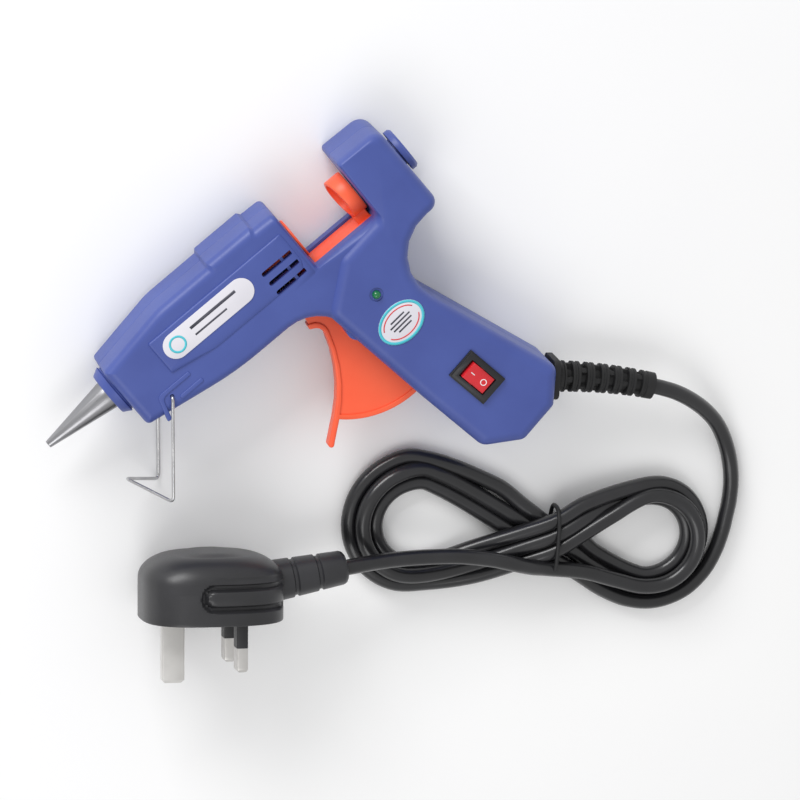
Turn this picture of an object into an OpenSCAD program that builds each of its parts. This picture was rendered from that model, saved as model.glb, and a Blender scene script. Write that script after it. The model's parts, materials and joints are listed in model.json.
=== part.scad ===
// Hot-melt glue gun lying on its right side, with its folding wire stand, mains lead and plug.
// The gun is drawn in its own frame: x runs back along the barrel from the nozzle tip, y is up
// from the stick axis, and z is out of the left side from the mould's parting plane. place_gun()
// then puts it on the floor with the origin under the middle of its bounding box.

/* [Gun body] */
// Nozzle tip to the rim of the stick inlet
gun_len = 160.8; // [160.2:0.1:162]
// Half thickness of the grip, which is the widest part
grip_half = 15; // [14.9:0.1:15.4]
// Half thickness of the raised side panel on the barrel
panel_half = 14; // [13.9:0.1:14.1]
// Half thickness of the barrel around the panel
barrel_half = 13.2; // [13:0.1:13.3]
// Wall of the two housing halves
wall = 2.2; // [1.8:0.1:2.4]
// Half width of the channel that the stick clamp slides in
channel_half = 7.5; // [7.5:0.1:7.8]

/* [Glue path] */
// Diameter of the glue stick
stick_d = 7.2; // [7:0.1:7.4]
// Running gap around the stick
stick_gap = 0.3; // [0.2:0.1:0.4]
// Length of the nozzle's visible cone
nozzle_len = 26.5; // [25:0.5:26.5]
// Diameter of the nozzle's outlet hole
outlet_d = 1.6; // [1.2:0.1:1.8]

/* [Motion] */
// Distance from the trigger's pivot to the pin that drives the clamp
link_r = 20.5; // [20:0.1:20.8]
// Angle that the trigger turns from rest to its stop
pull_angle = 26; // [20:1:26]

/* [Stand] */
// Wire diameter of the stand
wire_d = 1.2; // [1:0.1:1.2]
// Length of each leg from pivot to foot
leg_len = 38; // [36:0.5:39]

/* [Lead and plug] */
// Outer diameter of the mains lead
cord_d = 5.7; // [5.4:0.1:5.8]
// Height of the plug body above its base
plug_h = 24; // [23:0.5:25]

/* [Hidden] */
$fn = 48;
eps = 0.01;

blue = "#505fa6";
orange = "#ff643e";
black = "#1e1e21";
steel = "#b9bcc0";

stick_r = stick_d / 2 + stick_gap;
wire_r = wire_d / 2;
cord_r = cord_d / 2;

// Corner points of the housing's outline: x, y and the radius that rounds the corner.
outline = [
  [31.1, 10.7, 1.5], [59, 15.8, 30], [81.4, 15.9, 0], [82.4, 17.3, 0], [101.4, 17.3, 0],
  [102.4, 15.9, 0], [111, 15.6, 2], [111, -9.2, 0.8], [138.3, -9.2, 0.8], [138.5, 15.4, 1.6],
  [157.2, 15, 4.5], [157.8, -20.4, 4], [126.4, -20.3, 18], [153.2, -95, 4], [143.8, -105.4, 3],
  [128, -108.2, 4], [115.2, -99.8, 5], [110, -70.1, 90], [102.4, -20.2, 16], [66.2, -20.2, 120],
  [31.1, -14.3, 2]
];
// Lowest and highest points of the housing, with its corners rounded.
y_low = -107.98;
y_high = 17.3;

// Parts of the sides that stand out from the barrel's own surface.
panel_outline = [[49.2, 9.2, 0.8], [108.5, 9.2, 0.8], [108.5, -8, 6], [68, -8, 8], [49.2, -4.5, 0.8]];
grip_outline = [
  [141.5, 12.2, 3], [154.2, 12.2, 3], [154.6, -17, 3], [122, -17.2, 19], [149.6, -92.6, 3],
  [141.8, -102, 3], [128.4, -104.7, 3], [118.4, -98, 4], [112.6, -68, 60], [106.6, -30, 8],
  [120, -16, 8], [141.5, -12.6, 3]
];

// The trigger's finger plate as a bent strip: it hooks forwards at its lower end.
finger_outline = [
  [95, -28.6, 0.6], [99, -30.6, 3.5], [93.9, -49.3, 52], [73.4, -66.6, 0.9], [74.7, -68.2, 0.9],
  [95.5, -50.4, 53.9], [101.1, -29, 5.4], [95.4, -26.5, 0.6]
];

// Where the housing halves are screwed together.
screws = [[58, -15.2], [96, 11], [148, -13.2], [148, 10], [133, -52], [124, -97]];
boss_r = 3;

pivot = [108, -36.5];
sector_r = 35.4;
link_rest = 90 - pull_angle / 2;
link_pin_at = pivot + link_r * [cos(link_rest), sin(link_rest)];
pin_r = 1.5;
pivot_r = 2;

stand_pivot = [44, -11.1];
leg_angle = -128.5;
leg_z = grip_half - wire_r;
foot_corner = stand_pivot + leg_len * [cos(leg_angle), sin(leg_angle)];

led_at = [120.6, -30];
label_at = [121.1, -43.7];
switch_at = [129.2, -77.3];
switch_turn = -80.5;
rocker_half = [5.2, 3.3];
rocker_z = grip_half - 0.9;
rocker_tilt = 9;

relief_at = [148.7, -100];
relief_angle = -42;

// The middle of the lead from its clamp out to the end of the bending sleeve, in its own plane.
sleeve_len = 36;
sleeve_bend = 3.5;
sleeve_line = concat([[-18, 0], [-9, 0]], [for (k = [0:9]) let (s = k / 9)
  [3.2 + sleeve_len * s, -sleeve_bend * s * s]]);
clamp_at = -14;
clamp_reach = 6;

collar_front = 27.1;
front_wall = 31.1;
clamp_x = 130.5;
clamp_len = 7.4;
slide_y = -11.1;
slide_front = 104.5;
spring_r = 1.9;
spring_wire = 0.35;
spring_len = 20;
spring_x = slide_front - spring_len;

// Middles of the lead from the end of its sleeve to the hank, in the row frame.
lead_route = [
  [97.2, -86.4, 14.9], [100.3, -91.8, 13.8], [102.9, -98.6, 11.7], [104.7, -106.5, 9],
  [105.1, -114.6, 6.3], [103.6, -122.6, 4.2], [100.6, -130.2, 3.1], [96.4, -136.9, 3],
  [91.2, -142.6, 3], [87, -146.2, 3]
];
// Middles of the lead from the hank's waist to the plug's neck, in the hank's own frame.
tail_route = [
  [-3, -9.8, 10.4], [-9, -8.8, 12.2], [-15.5, -7, 14.2], [-24, -5, 15], [-36, -3.7, 15],
  [-48, -3.8, 15], [-58, -4.2, 15.8], [-66.3, -4.6, 17.5], [-72.4, -4.9, 19.4],
  [-78.4, -5.6, 20.5], [-83.4, -6.5, 20.7], [-88.2, -7.4, 20.8]
];
hank_at = [33, -108];
hank_turn = -42;
hank_h = 12;
waist_h = 13.2;
tie_d = 1.5;

plug_at = [-77.2, -39.6, 23.2];
plug_turn = -40.8;
plug_tilt = -9.4;
plug_len = 50;
plug_half = 23.5;
neck_h = 12.3;
neck_rise = 9.4;
neck_start = plug_len / 2 - 3;
neck_len = 27;
earth_x = -13.5;
earth_len = 22.73;
line_x = 8.73;
line_z = 11.11;
line_len = 17.7;
sleeve_d = 9;

// ---- helpers ----

function unit(v) = v / norm(v);

// The points of an outline whose corners are rounded to their own radii.
function rounded(pts, steps = 7) = [
  for (i = [0:len(pts) - 1])
    let (
      p = [pts[i].x, pts[i].y],
      a = pts[(i + len(pts) - 1) % len(pts)],
      b = pts[(i + 1) % len(pts)],
      r = pts[i][2],
      u = unit([a.x, a.y] - p),
      v = unit([b.x, b.y] - p),
      half = acos(max(-1, min(1, u * v))) / 2,
      centre = p + unit(u + v) * r / sin(half),
      from = p + u * r / tan(half) - centre,
      to = p + v * r / tan(half) - centre,
      start = atan2(from.y, from.x),
      turn = (atan2(to.y, to.x) - start + 540) % 360 - 180
    )
    each r == 0 ? [p] : [for (k = [0:steps]) centre + r * [cos(start + turn * k / steps),
                                                         sin(start + turn * k / steps)]]
];

module slab(pts, z0, z1) translate([0, 0, z0]) linear_extrude(z1 - z0) polygon(rounded(pts));

// A round bar from p to q.
module bar(p, q, r) {
  d = q - p;
  translate(p) rotate([0, acos(d.z / norm(d)), atan2(d.y, d.x)]) cylinder(h = norm(d), r = r);
}

module rod(pts, r) {
  for (i = [0:len(pts) - 2]) bar(pts[i], pts[i + 1], r);
  for (i = [1:len(pts) - 2]) translate(pts[i]) sphere(1.02 * r);
}

// A straight tube along x, or a solid bar where the hole is 0.
module along_x(x0, x1, r, hole = 0) translate([x0, 0, 0]) rotate([0, 90, 0]) difference() {
  cylinder(h = x1 - x0, r = r);
  if (hole > 0) translate([0, 0, -1]) cylinder(h = x1 - x0 + 2, r = hole);
}

module place_gun() translate([-gun_len / 2, -(y_low + y_high) / 2, grip_half]) children();
module place_hank() translate([hank_at.x, hank_at.y, 0]) rotate([0, 0, hank_turn]) children();
module place_plug() translate(plug_at) rotate([plug_tilt, 0, plug_turn]) children();

// A point of the sleeve's own plane in the row frame.
function to_row(p) = [
  relief_at.x + p.x * cos(relief_angle) - p.y * sin(relief_angle) - gun_len / 2,
  relief_at.y + p.x * sin(relief_angle) + p.y * cos(relief_angle) - (y_low + y_high) / 2,
  grip_half
];

// A point on the smooth curve through four route points.
function curve(a, b, c, d, t) = 0.5 * (2 * b + (c - a) * t + (2 * a - 5 * b + 4 * c - d) * t * t
  + (3 * b - a - 3 * c + d) * t * t * t);
function at(pts, i) = i < 0 ? 2 * pts[0] - pts[1]
  : i >= len(pts) ? 2 * pts[len(pts) - 1] - pts[len(pts) - 2] : pts[i];
function smooth(pts, steps) = [
  for (i = [0:len(pts) - 2], k = [0:steps - 1])
    curve(at(pts, i - 1), pts[i], pts[i + 1], at(pts, i + 2), k / steps),
  pts[len(pts) - 1]
];

// A tube of changing radius swept along a list of points, whose rings start square to "up".
module sweep(path, radii, sides = 10, up = [0, 0, 1]) {
  n = len(path);
  function along(i) = unit(path[min(i + 1, n - 1)] - path[max(i - 1, 0)]);
  function side(i) = unit(cross(along(i), up));
  rings = [for (i = [0:n - 1], k = [0:sides - 1])
    path[i] + radii[i] * (side(i) * cos(360 * k / sides)
      + cross(side(i), along(i)) * sin(360 * k / sides))];
  walls = [for (i = [0:n - 2], k = [0:sides - 1])
    [i * sides + k, i * sides + (k + 1) % sides,
     (i + 1) * sides + (k + 1) % sides, (i + 1) * sides + k]];
  polyhedron(rings, concat(walls, [[for (k = [sides - 1:-1:0]) k]],
    [[for (k = [0:sides - 1]) (n - 1) * sides + k]]), convexity = 6);
}

// A thin insulated wire along a few route points.
module wire(route, r) {
  path = smooth(route, 4);
  sweep(path, [for (p = path) r], 8);
}

module cord_tube(path) sweep(path, [for (p = path) cord_r]);

// ---- housing ----

module outer_half() {
  slab(outline, 0, barrel_half);
  slab(panel_outline, barrel_half - eps, panel_half);
  slab(grip_outline, barrel_half - eps, grip_half);
}

module cavity() linear_extrude(barrel_half - wall) offset(delta = -wall) polygon(rounded(outline));

// The ribs beside the stand's leg: one bends round its front, one lies behind it.
module stand_ribs() {
  rib_top = barrel_half + 0.4;
  slab([[38.9, -17.5, 0.4], [41.2, -9.4, 2.6], [54, -9.4, 0.7], [54, -7.8, 0.7], [40, -7.8, 2],
    [37.2, -17.2, 0.4]], barrel_half - eps, rib_top);
  slab([[46, -14.2, 0.7], [56, -14.2, 0.7], [56, -12.6, 0.7], [46, -12.6, 0.7]],
    barrel_half - eps, rib_top);
}

module bosses(hole, depth) {
  for (s = screws) translate([s.x, s.y, 0.1]) difference() {
    cylinder(h = barrel_half - wall, r = boss_r);
    translate([0, 0, -1]) cylinder(h = depth + 1, r = hole);
  }
}

// Everything that is cut from both halves alike.
module shared_cuts() {
  translate([105, -12.3, -1]) cube([33.2, 3.2, channel_half + 1]);
  along_x(front_wall - 1, front_wall + wall + 1, 7);
  along_x(107, 112, 6.1);
  along_x(137, 159, 5.6);
  // The slot that the trigger swings in.
  slab([[92, -17, 0], [103, -17, 0], [112, -34, 0], [114, -70, 0], [114, -79, 0], [106, -79, 0],
    [92, -31, 0]], -1, 3.5);
  translate([pivot.x, pivot.y, -1]) cylinder(h = 1 + 12.2, r = pivot_r);
  translate([stand_pivot.x, stand_pivot.y, 9]) cylinder(h = 6, r = wire_r + 0.05);
  relief_hole();
  for (y = [1.6, -2.6, -6.9]) vent(y);
}

module relief_hole() translate([relief_at.x, relief_at.y, 0]) rotate([0, 0, relief_angle])
  along_x(-6, 6, 4.1);

module vent(y) translate([0, y, 10]) slab([[94.5, -0.9, 0.8], [107.4, -0.9, 0.8], [107.4, 0.9, 0.8],
  [94.5, 0.9, 0.8]], 0, 6);

// What each half has inside: bosses for the screws and the pivot, and ledges under the slide.
module inner_ribs(hole, depth) {
  bosses(hole, depth);
  translate([pivot.x, pivot.y, 3.5]) difference() {
    cylinder(h = barrel_half - wall - 3.5 + eps, r = 4);
    translate([0, 0, -1]) cylinder(h = 12, r = pivot_r);
  }
  translate([96, -13.9, 4.6]) cube([42, 1.5, barrel_half - wall - 4.6 + eps]);
  translate([stand_pivot.x, stand_pivot.y, 9]) difference() {
    cylinder(h = 2 + eps, r = 2.4);
    translate([0, 0, -1]) cylinder(h = 6, r = wire_r + 0.05);
  }
  translate([spring_x - 2, slide_y - 3.4, 0.1]) cube([2, 6, barrel_half - wall]);
  for (x = [42, 66]) translate([x, 0, 0.1]) difference() {
    translate([0, -9, 0]) cube([3, 18, barrel_half - wall]);
    translate([-1, 0, -0.1]) rotate([0, 90, 0]) cylinder(h = 5, r = 7.5);
    translate([-1, -11, -0.2]) cube([5, 11, 5.4]);
  }
}

module half_shell(hole, depth) {
  difference() {
    outer_half();
    translate([0, 0, -eps]) cavity();
    shared_cuts();
  }
  stand_ribs();
  intersection() {
    inner_ribs(hole, depth);
    linear_extrude(20) offset(delta = -wall + eps) polygon(rounded(outline));
  }
}

module left_housing() color(blue) place_gun() difference() {
  half_shell(1.3, 8);
  // Seats for the switch and the lamp.
  translate([switch_at.x, switch_at.y, 5]) rotate([0, 0, switch_turn])
    translate([-6.7, -4.3, 0]) cube([13.4, 8.6, 12]);
  translate([led_at.x, led_at.y, 5]) cylinder(h = 12, r = 1.55);
}

module right_housing() color(blue) place_gun() {
  mirror([0, 0, 1]) difference() {
    half_shell(1.6, 20);
    for (s = screws) translate([s.x, s.y, 5]) cylinder(h = 14, r = 2.9);
  }
  clamp_posts(1.25);
}

module front_collar() color(blue) place_gun() difference() {
  union() {
    translate([collar_front, 0, 0]) rotate([0, 90, 0]) cylinder(h = 3.1, r1 = 8, r2 = 9.75);
    along_x(30.2 - eps, front_wall, 9);
    along_x(30.2, 34.5, 6.95);
  }
  along_x(26, 36, 5.5);
}

module stick_bush() color(blue) place_gun() difference() {
  union() {
    along_x(138.5, 158.4, 5.5);
    along_x(158.2, 160, 8.2);
    translate([160 - eps, 0, 0]) rotate([0, 90, 0])
      cylinder(h = gun_len - 160 + eps, r1 = 8.2, r2 = 7.5);
  }
  along_x(138, gun_len + 1, stick_r);
}

// The screws go in from the right side: shank into the left half's boss, head in its recess.
module housing_screws() color(steel) place_gun() for (s = screws) translate([s.x, s.y, 0]) {
  translate([0, 0, -5]) cylinder(h = 12, r = 1.25);
  translate([0, 0, -7]) difference() {
    cylinder(h = 2, r = 2.7);
    for (a = [0, 90]) rotate([0, 0, a]) translate([-1.6, -0.3, -1]) cube([3.2, 0.6, 2]);
  }
}

// ---- glue path ----

module nozzle() color("#c9ccd0") place_gun() difference() {
  union() {
    rotate([0, 90, 0]) cylinder(h = nozzle_len, r1 = 1.35, r2 = 5.35);
    along_x(nozzle_len - eps, 36, 5.35);
    along_x(36 - eps, 42, 3.4);
  }
  along_x(-1, 5, outlet_d / 2);
  along_x(4, 43, 1.6);
}

module melt_chamber() color("#a9acb2") place_gun() difference() {
  union() {
    along_x(36, 66, 6.4);
    along_x(66 - eps, 76, 5.2);
    translate([44, -10.6, -5]) cube([20, 8, 10]);
  }
  along_x(35, 42, 3.4);
  along_x(41, 77, stick_r);
  translate([43, -9.4, -3.6]) cube([22, 2.6, 7.2]);
}

module ptc_heater() color("#c98f3a") place_gun() translate([44.5, -9.4, -3.5]) cube([19, 2.5, 7]);

module heater_clip() color(steel) place_gun() translate([50, 0, 0]) difference() {
  translate([0, -11.5, -6.9]) cube([8, 18.4, 13.8]);
  translate([-1, -10.6, -5.02]) cube([10, 10.6, 10.04]);
  along_x(-1, 9, 6.4);
  translate([-1, 3, -8]) cube([10, 4, 16]);
}

module chamber_rings() color("#b5452c") place_gun() for (x = [42, 66])
  difference() {
    along_x(x + 0.1, x + 2.9, 7.4, x < 60 ? 6.4 : 5.2);
    translate([x - 1, -10.8, -5.1]) cube([x < 60 ? 5 : 0.01, 8, 10.2]);
  }

module stick_sleeve() color("#a5301d") place_gun() difference() {
  along_x(69.1, 96, 6.3);
  along_x(69, 76, 5.2);
  along_x(75, 97, stick_r);
}

module inlet_guide() color(orange) place_gun() difference() {
  union() {
    along_x(96, 111.1, 6);
    along_x(111, 112, 7.9);
  }
  along_x(95, 113, stick_r + 0.1);
}

// ---- feed ----

module feed_slide() color(orange) place_gun() {
  translate([slide_front, slide_y - 1.1, -7.2]) cube([33.2, 2.2, 14.4]);
  for (z = [2.3, -4.3]) difference() {
    translate([link_pin_at.x - 4.2, -20.6, z]) cube([8.4, 8.6, 2]);
    translate([link_pin_at.x - pin_r - 0.1, -19.4, z - 1]) cube([2 * pin_r + 0.2, 5.6, 4]);
  }
  difference() {
    translate([clamp_x + 1, -10.1, -4]) cube([5, 3.4, 8]);
    along_x(clamp_x, clamp_x + 8, 8);
  }
}

module stick_clamp() color(orange) place_gun() difference() {
  along_x(clamp_x, clamp_x + clamp_len, 8);
  along_x(clamp_x - 1, clamp_x + 4.2, 6.7);
  along_x(clamp_x + 4, clamp_x + clamp_len + 1, stick_r + 0.05);
}

function arc_points(r, from, to) = [for (a = [from:(to - from) / 20:to])
  pivot + r * [cos(a), sin(a)]];

module fan() polygon(concat([pivot + [4, 7], [101, -28.5], [99.4, -32.4], [97, -40], [92.3, -50.2],
  [81.6, -61]],
  arc_points(sector_r, -135, -80), [pivot + [3, -3]]));

module fan_rim() polygon(concat(arc_points(sector_r, -136, -82),
  arc_points(sector_r - 1.7, -82, -136)));

module trigger() color(orange) place_gun() difference() {
  union() {
    slab(finger_outline, -2.7, 2.7);
    translate([0, 0, -2]) linear_extrude(4) fan();
    translate([0, 0, -2.6]) linear_extrude(5.2) fan_rim();
    translate([pivot.x, pivot.y, -3.2]) cylinder(h = 6.4, r = 3.6);
    // The arm up to the link pin.
    translate([pivot.x, pivot.y, -1.9]) rotate([0, 0, link_rest]) translate([0, -2.4, 0])
      cube([link_r, 4.8, 3.8]);
    translate([link_pin_at.x, link_pin_at.y, -1.9]) cylinder(h = 3.8, r = 2.6);
  }
  translate([pivot.x, pivot.y, -8]) cylinder(h = 16, r = pivot_r + 0.05);
  translate([link_pin_at.x, link_pin_at.y, -8]) cylinder(h = 16, r = pin_r);
}

module link_pin() color(steel) place_gun()
  translate([link_pin_at.x, link_pin_at.y, -4.2]) cylinder(h = 8.4, r = pin_r);

module pivot_pin() color(steel) place_gun()
  translate([pivot.x, pivot.y, -12]) cylinder(h = 24, r = pivot_r);

// Compression spring between the slide's front end and the post that stops it.
module return_spring() color(steel) place_gun() {
  turns = 9;
  per_turn = 10;
  coil = [for (k = [0:turns * per_turn]) let (a = 360 * k / per_turn)
    [spring_x + 0.5 + (spring_len - 1) * k / (turns * per_turn),
     slide_y + spring_r * cos(a), spring_r * sin(a)]];
  sweep(coil, [for (p = coil) spring_wire], 8, [1, 0, 0]);
}

// ---- stand ----

module stand() color("#c4c6c8") place_gun() {
  foot_top = foot_corner + 13.8 * [cos(121), sin(121)];
  foot_tip = foot_corner + 15 * [cos(121), sin(121)];
  rod([
    [stand_pivot.x, stand_pivot.y, 10], [stand_pivot.x, stand_pivot.y, leg_z],
    [foot_corner.x, foot_corner.y, leg_z], [foot_top.x, foot_top.y, 1.6],
    [foot_tip.x, foot_tip.y, 0], [foot_top.x, foot_top.y, -1.6],
    [foot_corner.x, foot_corner.y, -leg_z], [stand_pivot.x, stand_pivot.y, -leg_z],
    [stand_pivot.x, stand_pivot.y, -10]
  ], wire_r);
}

// ---- lamp, switch and labels ----

module led_lens() color("#1f9d55") place_gun() translate([led_at.x, led_at.y, 0]) {
  translate([0, 0, 9]) cylinder(h = 6.2, r = 1.5);
  translate([0, 0, 15.2]) sphere(1.5);
  translate([0, 0, 8.4]) cylinder(h = 0.8, r = 1.9);
}

module led_board() color("#2f6b3a") place_gun() translate([led_at.x - 4, led_at.y - 5, 7])
  cube([8, 8.4, 1.4]);

module place_switch() place_gun() translate([switch_at.x, switch_at.y, grip_half])
  rotate([0, 0, switch_turn]) children();

module switch_frame() color(black) place_switch() difference() {
  union() {
    translate([-8.4, -5.9, 0]) cube([16.8, 11.8, 0.8]);
    translate([-7.9, -5.4, 0.8 - eps]) cube([15.8, 10.8, 0.6]);
    translate([-6.6, -4.2, -12]) cube([13.2, 8.4, 12.1]);
  }
  translate([-5.9, -3.6, -9]) cube([11.8, 7.2, 12]);
  translate([0, 0, rocker_z - grip_half]) rotate([90, 0, 0]) cylinder(h = 20, r = 1.05, center = true);
}

// Its top is a shallow V, and it rests tilted with its far end pressed in.
module rocker() color("#d72832") place_switch() translate([0, 0, rocker_z - grip_half])
  rotate([0, rocker_tilt, 0]) {
    translate([0, rocker_half.y, 0]) rotate([90, 0, 0]) linear_extrude(2 * rocker_half.y)
      polygon([[-rocker_half.x, 2.4], [0, 1.5], [rocker_half.x, 2.4], [rocker_half.x, -0.6],
        [2.6, -4.6], [-2.6, -4.6], [-rocker_half.x, -0.6]]);
    rotate([90, 0, 0]) cylinder(h = 8, r = 1, center = true);
  }

module switch_terminals() color("#c9a24a") place_switch() for (x = [-4, 0, 4])
  translate([x - 0.4, -1.6, -17]) cube([0.8, 3.2, 5]);

module side_label() color("#dedbe2") place_gun() translate([0, 0, panel_half])
  linear_extrude(0.3) polygon(rounded([[51.8, 7.2, 4.8], [90.2, 7.2, 4.8], [90.2, -2.4, 4.8],
    [51.8, -2.4, 4.8]], 12));

module rating_label() color("#dedbe2") place_gun() translate([label_at.x, label_at.y, grip_half])
  rotate([0, 0, 5]) linear_extrude(0.25)
  polygon([for (a = [0:10:350]) [9.2 * cos(a), 7 * sin(a)]]);

// ---- wiring ----

module place_relief() place_gun() translate([relief_at.x, relief_at.y, 0])
  rotate([0, 0, relief_angle]) children();

module clamp_posts(hole) place_clamp() for (y = [-1, 1]) translate([0, clamp_reach * y, 0])
  difference() {
    translate([0, 0, -12]) cylinder(h = 12 - 1.5, r = 2.4);
    translate([0, 0, -9]) cylinder(h = 12, r = hole);
  }

module place_clamp() translate([relief_at.x, relief_at.y, 0]) rotate([0, 0, relief_angle])
  translate([clamp_at, 0, 0]) children();

module cord_clamp() color(black) place_gun() place_clamp() difference() {
  translate([-3.5, -9, -1.4]) cube([7, 18, 6.4]);
  translate([-4, 0, 0]) rotate([0, 90, 0]) cylinder(h = 8, r = cord_r + 0.05);
  translate([-4, -cord_r - 0.05, -2]) cube([8, 2 * cord_r + 0.1, 2]);
  for (y = [-1, 1]) translate([0, clamp_reach * y, -2]) cylinder(h = 10, r = 1.3);
}

module clamp_screws() color(steel) place_gun() place_clamp() for (y = [-1, 1])
  translate([0, clamp_reach * y, 0]) {
    translate([0, 0, -8]) cylinder(h = 13.5, r = 1.2);
    translate([0, 0, 5.1]) cylinder(h = 1.4, r = 2.1);
  }

module strain_relief() color(black) {
  sleeve = [for (k = [2:11]) to_row(sleeve_line[k])];
  place_relief() difference() {
    union() {
      along_x(-5, 0.6, 4.05);
      along_x(0.6, 3.3, 7.8);
    }
    along_x(-6, 4, cord_r + 0.05);
  }
  difference() {
    sweep(sleeve, [for (k = [0:9]) 5.7 - 1.1 * k / 9], 16);
    sweep([for (k = [1:11]) to_row(sleeve_line[k])], [for (k = [1:11]) cord_r + 0.1], 12);
  }
}

// The two insulated cores from the end of the lead to the switch, and on to the heater.
module cord_cores() color("#7a4a2b") place_gun() for (z = [-1.2, 1.2])
  wire([[134.8, -87.5, 1.5 * z], [133, -86.4, 2 * z], [130.5, -84.5, 2.4 * z]], 0.9);

module heater_leads() color("#d8d4cc") place_gun() for (s = [0, 1]) {
  z = -8.6 + 2.2 * s;
  wire([[126, -84, z], [121, -66, z], [120, -45, z], [114, -24, z], [95, -16.6, z],
    [72, -14.6, z], [67, -12, z]], 0.8);
}

// ---- lead, hank and plug ----

module cord_lead() color(black)
  cord_tube(concat([for (p = sleeve_line) to_row(p)], smooth(lead_route, 3)));

module cord_tail() color(black) place_hank() cord_tube(smooth(tail_route, 3));

module cord_hank() color(black) place_hank() {
  linear_extrude(hank_h) difference() {
    union() {
      hull() {
        translate([-47, 4]) circle(r = 27);
        translate([-8, 0]) circle(r = 10.5);
      }
      hull() {
        translate([40, -2]) circle(r = 26);
        translate([8, 0]) circle(r = 10.5);
      }
    }
    translate([-9, -30]) square([18, 60]);
  }
  translate([-9 - eps, -12, tie_d + 0.1]) cube([18 + 2 * eps, 24, waist_h - tie_d - 0.1]);
}

module cord_tie() color(black) place_hank() translate([-tie_d / 2, 0, 0]) difference() {
  translate([0, -12 - tie_d, 0]) cube([tie_d, 24 + 2 * tie_d, waist_h + tie_d]);
  translate([-1, -12, tie_d + 0.1]) cube([tie_d + 2, 24, waist_h - tie_d - 0.1]);
}

// The plug's own frame: x towards its lead, y away from the pins, z across.
module plug_body() color(black) place_plug() difference() {
  union() {
    plug_slab(0, 14, 0);
    plug_slab(14, 18, 0.8);
    plug_slab(18, 21, 2.4);
    plug_slab(21, 23, 5.2);
    plug_slab(23, plug_h, 8.5);
    place_neck() cylinder(h = neck_len, r1 = 7.5, r2 = 6);
  }
  base_plate(-1, 2);
  fuse_shape(3.2, 12.8);
  place_neck() translate([0, 0, neck_len - 12]) cylinder(h = 13, r = cord_r + 0.1);
}

module place_neck() translate([neck_start, neck_h, 0]) rotate([0, 0, neck_rise])
  rotate([0, 90, 0]) children();

// One layer of the plug between two heights, pulled in all round, with sides that lean inwards.
module plug_slab(y0, y1, inset) {
  x = plug_len / 2 - inset;
  z = plug_half - inset / 2 - y1 * tan(-plug_tilt);
  translate([0, y1, 0]) rotate([90, 0, 0]) linear_extrude(y1 - y0 + (y0 > 0 ? eps : 0))
    plug_outline(x, z);
}

module plug_outline(x, z)
  polygon([for (a = [0:7.5:352.5]) [x * softened(cos(a)), z * softened(sin(a))]]);

module base_plate(y0, y1) translate([0, y1, 0]) rotate([90, 0, 0]) linear_extrude(y1 - y0)
  plug_outline(plug_len / 2 - 2.5, plug_half - 2.8);

// A cosine or sine raised so that an ellipse drawn with it has fuller corners.
function softened(v) = sign(v) * pow(abs(v), 0.68);

module plug_base() color("#19191b") place_plug() difference() {
  base_plate(0, 2);
  translate([earth_x - 4, -1, -2]) cube([8, 4, 4]);
  for (z = [-line_z, line_z]) translate([line_x - 2, -1, z - 3.15]) cube([4, 4, 6.3]);
  translate([-6, -1, -5]) cube([10, 4, 10]);
}

module fuse_carrier() color("#8d2a22") place_plug() difference() {
  translate([-6, 0, -5]) cube([10, 2, 10]);
  translate([-3, -1, -0.5]) cube([4, 1.6, 1]);
}

module fuse() color("#cfd2d6") place_plug() fuse_shape(3.15, 12.7);

module fuse_shape(r, half) translate([4 - half, 6, 0]) rotate([0, 90, 0])
  cylinder(h = 2 * half, r = r);

module earth_pin() color("#c3c0bb") place_plug() translate([earth_x - 4, -earth_len, -2])
  cube([8, earth_len + 2, 4]);

module line_pins() color("#c3c0bb") place_plug() for (z = [-line_z, line_z])
  translate([line_x - 2, -line_len, z - 3.15]) cube([4, line_len - sleeve_d, 6.3]);

module pin_sleeves() color(black) place_plug() for (z = [-line_z, line_z])
  translate([line_x - 2, -sleeve_d, z - 3.15]) cube([4, sleeve_d + 2, 6.3]);

left_housing();
right_housing();
front_collar();
nozzle();
melt_chamber();
ptc_heater();
heater_clip();
chamber_rings();
stick_sleeve();
inlet_guide();
stick_bush();
feed_slide();
stick_clamp();
trigger();
link_pin();
pivot_pin();
return_spring();
stand();
led_lens();
led_board();
switch_frame();
rocker();
switch_terminals();
side_label();
rating_label();
housing_screws();
cord_clamp();
clamp_screws();
strain_relief();
cord_cores();
heater_leads();
cord_lead();
cord_hank();
cord_tail();
cord_tie();
plug_body();
plug_base();
fuse_carrier();
fuse();
earth_pin();
line_pins();
pin_sleeves();
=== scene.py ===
"""Looks of the glue gun: housings, trigger, stand, switch, lead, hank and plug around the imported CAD."""
import math

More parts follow.
